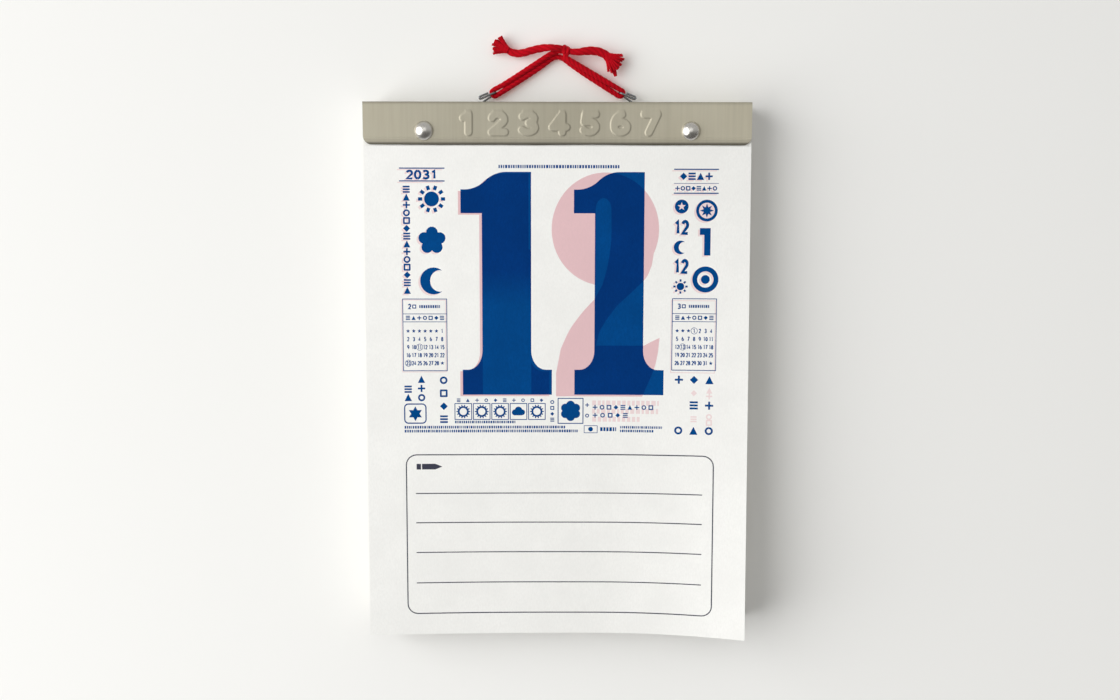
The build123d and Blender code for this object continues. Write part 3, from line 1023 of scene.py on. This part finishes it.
def frayed(begin, angle, spread, length, count, radius):
    """Loose strands at a cut end: they leave one place side by side and fan out about an angle in the XZ
    plane, each straight at first and then bending to its own direction, in two layers."""
    tubes = []
    way = np.array([math.cos(angle), 0, math.sin(angle)])
    across = np.array([-math.sin(angle), 0, math.cos(angle)])
    t = np.linspace(0, 1, 14)[:, None]
    for k in range(count):
        share = 2 * (k + 0.5) / count - 1
        own = spread * share + RNG.normal(0, 0.04)
        far = length * RNG.uniform(0.86, 1.06) * (1 - 0.10 * share**2)
        out = np.array([0, -0.55 if k % 2 else 0.35, 0])
        fan = t * math.cos(own) * way + t**1.35 * math.sin(own) * across
        line = np.array(begin) + 1.1 * share * across + out * (1 + t * RNG.uniform(0.2, 1.0)) + far * fan
        tubes.append(plied(line, radius, 3, 4.5, sides=10))
    return tubes


def knot_wraps():
    """Two short turns of the cord round each other, tilted against one another."""
    turn = np.radians(np.linspace(-20, 350, 60))
    wraps = []
    for tilt, size, shift in ((0.35, 1.4, (-0.35, 0.0, 0.0)), (-0.55, 1.2, (0.75, -0.25, -0.5))):
        lean = 0.6 * math.tan(tilt) * size * np.cos(turn)
        ring = np.stack([lean, size * np.cos(turn), size * np.sin(turn)], axis=1)
        wraps.append(plied(KNOT + shift + ring, 1.2, 3, 5.0, reference=(1, 0, 0)))
    return yarn_piece("cord_knot_wraps", wraps, "cord_knot")


def loop_radius(line, at):
    """The loop's thickness: thinner, by a rounded step along X, where it is pulled round the wire eyes."""
    step_start, step_wide, full, less = 24.0, 6.0, 1.36, 0.16
    near = np.clip((np.abs(line[:, 0]) - step_start) / step_wide, 0, 1)
    return full - less * near * near * (3 - 2 * near)


def tail(which, route, size, begin, angle, spread, length):
    """One loose end: it opens out behind the knot and ends in a fan of strands."""
    line = spline_points(which + "_tail_route", route)

    def thickness(_, at):
        """Half the tail's width at each distance from the knot: widest in the middle, narrow at the end."""
        return np.interp(at, [0, 4, 12, at[-1] - 8, at[-1]], [1.25, 1.5, size, size, 0.75])

    name = "cord_tail_" + which
    body = yarn_piece(name + "_yarn", [plied(line, thickness, 5, 18.0, 0.75)], name)
    fray = yarn_piece("cord_fray_" + which, frayed(begin, math.radians(angle), spread, length, 15, 0.62))


def cords():
    """The doubled loop, its knot and its two frayed tails."""
    knot = knot_wraps()
    line = spline_points("loop_route", LOOP)
    loop = yarn_piece("cord_loop_yarn", [plied(line, loop_radius, 3, 7.5)], "cord_loop")
    tail("left", LEFT_TAIL, 1.85, (-23.6, -3.1, 4.6), 153, 0.54, 8.0)
    tail("right", RIGHT_TAIL, 2.05, (23.4, -4.4, 2.4), -40, 0.64, 8.6)


# The wires

def merged(node):
    """A CAD node's points in millimetres and its triangles, with doubled points merged."""
    work = bmesh.new()
    work.from_mesh(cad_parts[node].data)
    bmesh.ops.remove_doubles(work, verts=work.verts, dist=0.002 * MM)
    mesh = bpy.data.meshes.new(node + "_merged")
    work.to_mesh(mesh)
    work.free()
    points = np.empty(3 * len(mesh.vertices))
    mesh.vertices.foreach_get("co", points)
    corners = np.empty(len(mesh.loops), np.int32)
    mesh.loops.foreach_get("vertex_index", corners)
    bpy.data.meshes.remove(mesh)
    return points.reshape(-1, 3) / MM, corners.reshape(-1, 3)


def hanger_wire(which, way):
    """A CAD wire with its folded end pressed nearly shut: in front, a point v across from the first strand's
    middle moves back by press * gap * clip((v - radius) / gap, 0, 1), so the strands lie side by side."""
    node = "hanger_wire_" + which
    verts, faces = merged(node)
    eye_x = side(node, 0, (1 - way) // 2) + way * WIRE_R
    eye_z = side(node, 2, 1) - WIRE_R
    across = np.array([way * math.sin(WIRE_SLOPE), 0.0, math.cos(WIRE_SLOPE)])
    far = (verts - (eye_x, 0.0, eye_z)) @ across
    gap = 0.9 * WIRE_FOLD - 2 * WIRE_R
    front = verts[:, 1] < side(node, 1, 0) + 2.2 * WIRE_R
    pressed = front * WIRE_PRESS * gap * np.clip((far - WIRE_R) / gap, 0, 1)
    verts = verts - pressed[:, None] * across
    wire = mesh_piece("folded_wire_" + which, verts, faces, [MATERIALS["wire"]])
    wire.data.set_sharp_from_angle(angle=math.radians(50))
    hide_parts(node)
    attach(wire, "pad")


# CAD nodes that stay

def dress_nodes():
    """The CAD nodes whose shape is right keep it, with a better material."""
    chosen = {
        "backing_board": "board",
        "torn_stubs": "edges",
        "_leaves": "edges",
        "rivet_": "rivet",
        "washer_": "washer",
    }
    for name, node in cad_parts.items():
        for word, key in chosen.items():
            if word in name:
                node.data.materials.clear()
                node.data.materials.append(MATERIALS[key])


# Stage, light and camera

def wall():
    """A plain pale backdrop close behind the part, seen from the front only and open to lamps behind it."""
    mat = bpy.data.materials.new("pale_wall")
    mat.use_nodes = True
    tree = mat.node_tree
    tree.nodes.clear()
    front = put(tree, "ShaderNodeBsdfDiffuse", {"Color": (0.875, 0.875, 0.86, 1.0), "Roughness": 0.6})
    clear = put(tree, "ShaderNodeBsdfTransparent")
    behind = put(tree, "ShaderNodeNewGeometry").outputs["Backfacing"]
    shadow = put(tree, "ShaderNodeLightPath").outputs["Is Shadow Ray"]
    see_through = put(tree, "ShaderNodeMath", {0: behind, 1: shadow}, operation="MAXIMUM").outputs[0]
    both = put(tree, "ShaderNodeMixShader", {0: see_through, 1: front.outputs[0], 2: clear.outputs[0]})
    put(tree, "ShaderNodeOutputMaterial", {"Surface": both.outputs[0]})
    size, depth = 2500.0, 0.6
    corners = [(-size, depth, -size), (size, depth, -size), (size, depth, size), (-size, depth, size)]
    mesh_piece("wall", corners, [(0, 1, 2, 3)], [mat], outward=False)


def sky():
    """An even studio surround, darker below."""
    world = bpy.context.scene.world or bpy.data.worlds.new("World")
    bpy.context.scene.world = world
    world.use_nodes = True
    tree = world.node_tree
    way = put(tree, "ShaderNodeTexCoord").outputs["Generated"]
    height = put(tree, "ShaderNodeSeparateXYZ", {0: way}).outputs["Z"]
    share = put(tree, "ShaderNodeMapRange", {"Value": height, "From Min": -1.0, "From Max": 1.0}).outputs[0]
    shade = ramp(tree, share, [(0.30, (0.30, 0.29, 0.28)), (0.62, (1.0, 0.99, 0.97))])
    tree.links.new(shade, tree.nodes["Background"].inputs["Color"])
    tree.nodes["Background"].inputs["Strength"].default_value = 0.50


def lamp(name, place, size, energy, colour=(1, 1, 1)):
    """A round soft lamp that faces the middle of the part."""
    light = bpy.data.lights.new(name, "AREA")
    light.shape = "DISK"
    light.size = size
    light.energy = energy
    light.color = colour
    obj = bpy.data.objects.new(name, light)
    bpy.context.scene.collection.objects.link(obj)
    aim = Vector((0, 0, -0.15)) - Vector(place)
    obj.matrix_world = Matrix.Translation(place) @ aim.to_track_quat("-Z", "Y").to_matrix().to_4x4()


def camera():
    """The photograph's view: about 0.57 m in front of the part, level with the upper page, tilted down."""
    sensor, focal_pixels, image_pixels = 36.0, 1150.0, 1120.0
    data = bpy.data.cameras.new("camera")
    data.sensor_fit = "HORIZONTAL"
    data.sensor_width = sensor
    data.lens = sensor * focal_pixels / image_pixels
    obj = bpy.data.objects.new("camera", data)
    bpy.context.scene.collection.objects.link(obj)
    pitch, yaw, roll = (math.radians(a) for a in (6.815, -0.013, -0.112))
    level = Matrix.Rotation(-yaw, 4, "Z") @ Matrix.Rotation(math.pi / 2 - pitch, 4, "X")
    place = Matrix.Translation((1.59 * MM, -568.05 * MM, -72.65 * MM))
    obj.matrix_world = place @ level @ Matrix.Rotation(-roll, 4, "Z")
    bpy.context.scene.camera = obj


camera()
wall()
sky()
lamp("key", (-1.10, -0.85, -0.10), 1.8, 27.5, (1.0, 0.998, 0.995))
lamp("fill", (0.1, -1.4, 0.3), 1.0, 1.4)
lamp("back_left", (-0.3, 1.2, 0.4), 0.7, 6.5)
lamp("back_right", (0.8, 0.9, 0.1), 0.7, 6.0)
cords()
hanger_wire("left", -1)
hanger_wire("right", 1)
header_bar()
leaves()
dress_nodes()
bpy.context.scene.view_settings.view_transform = "Standard"
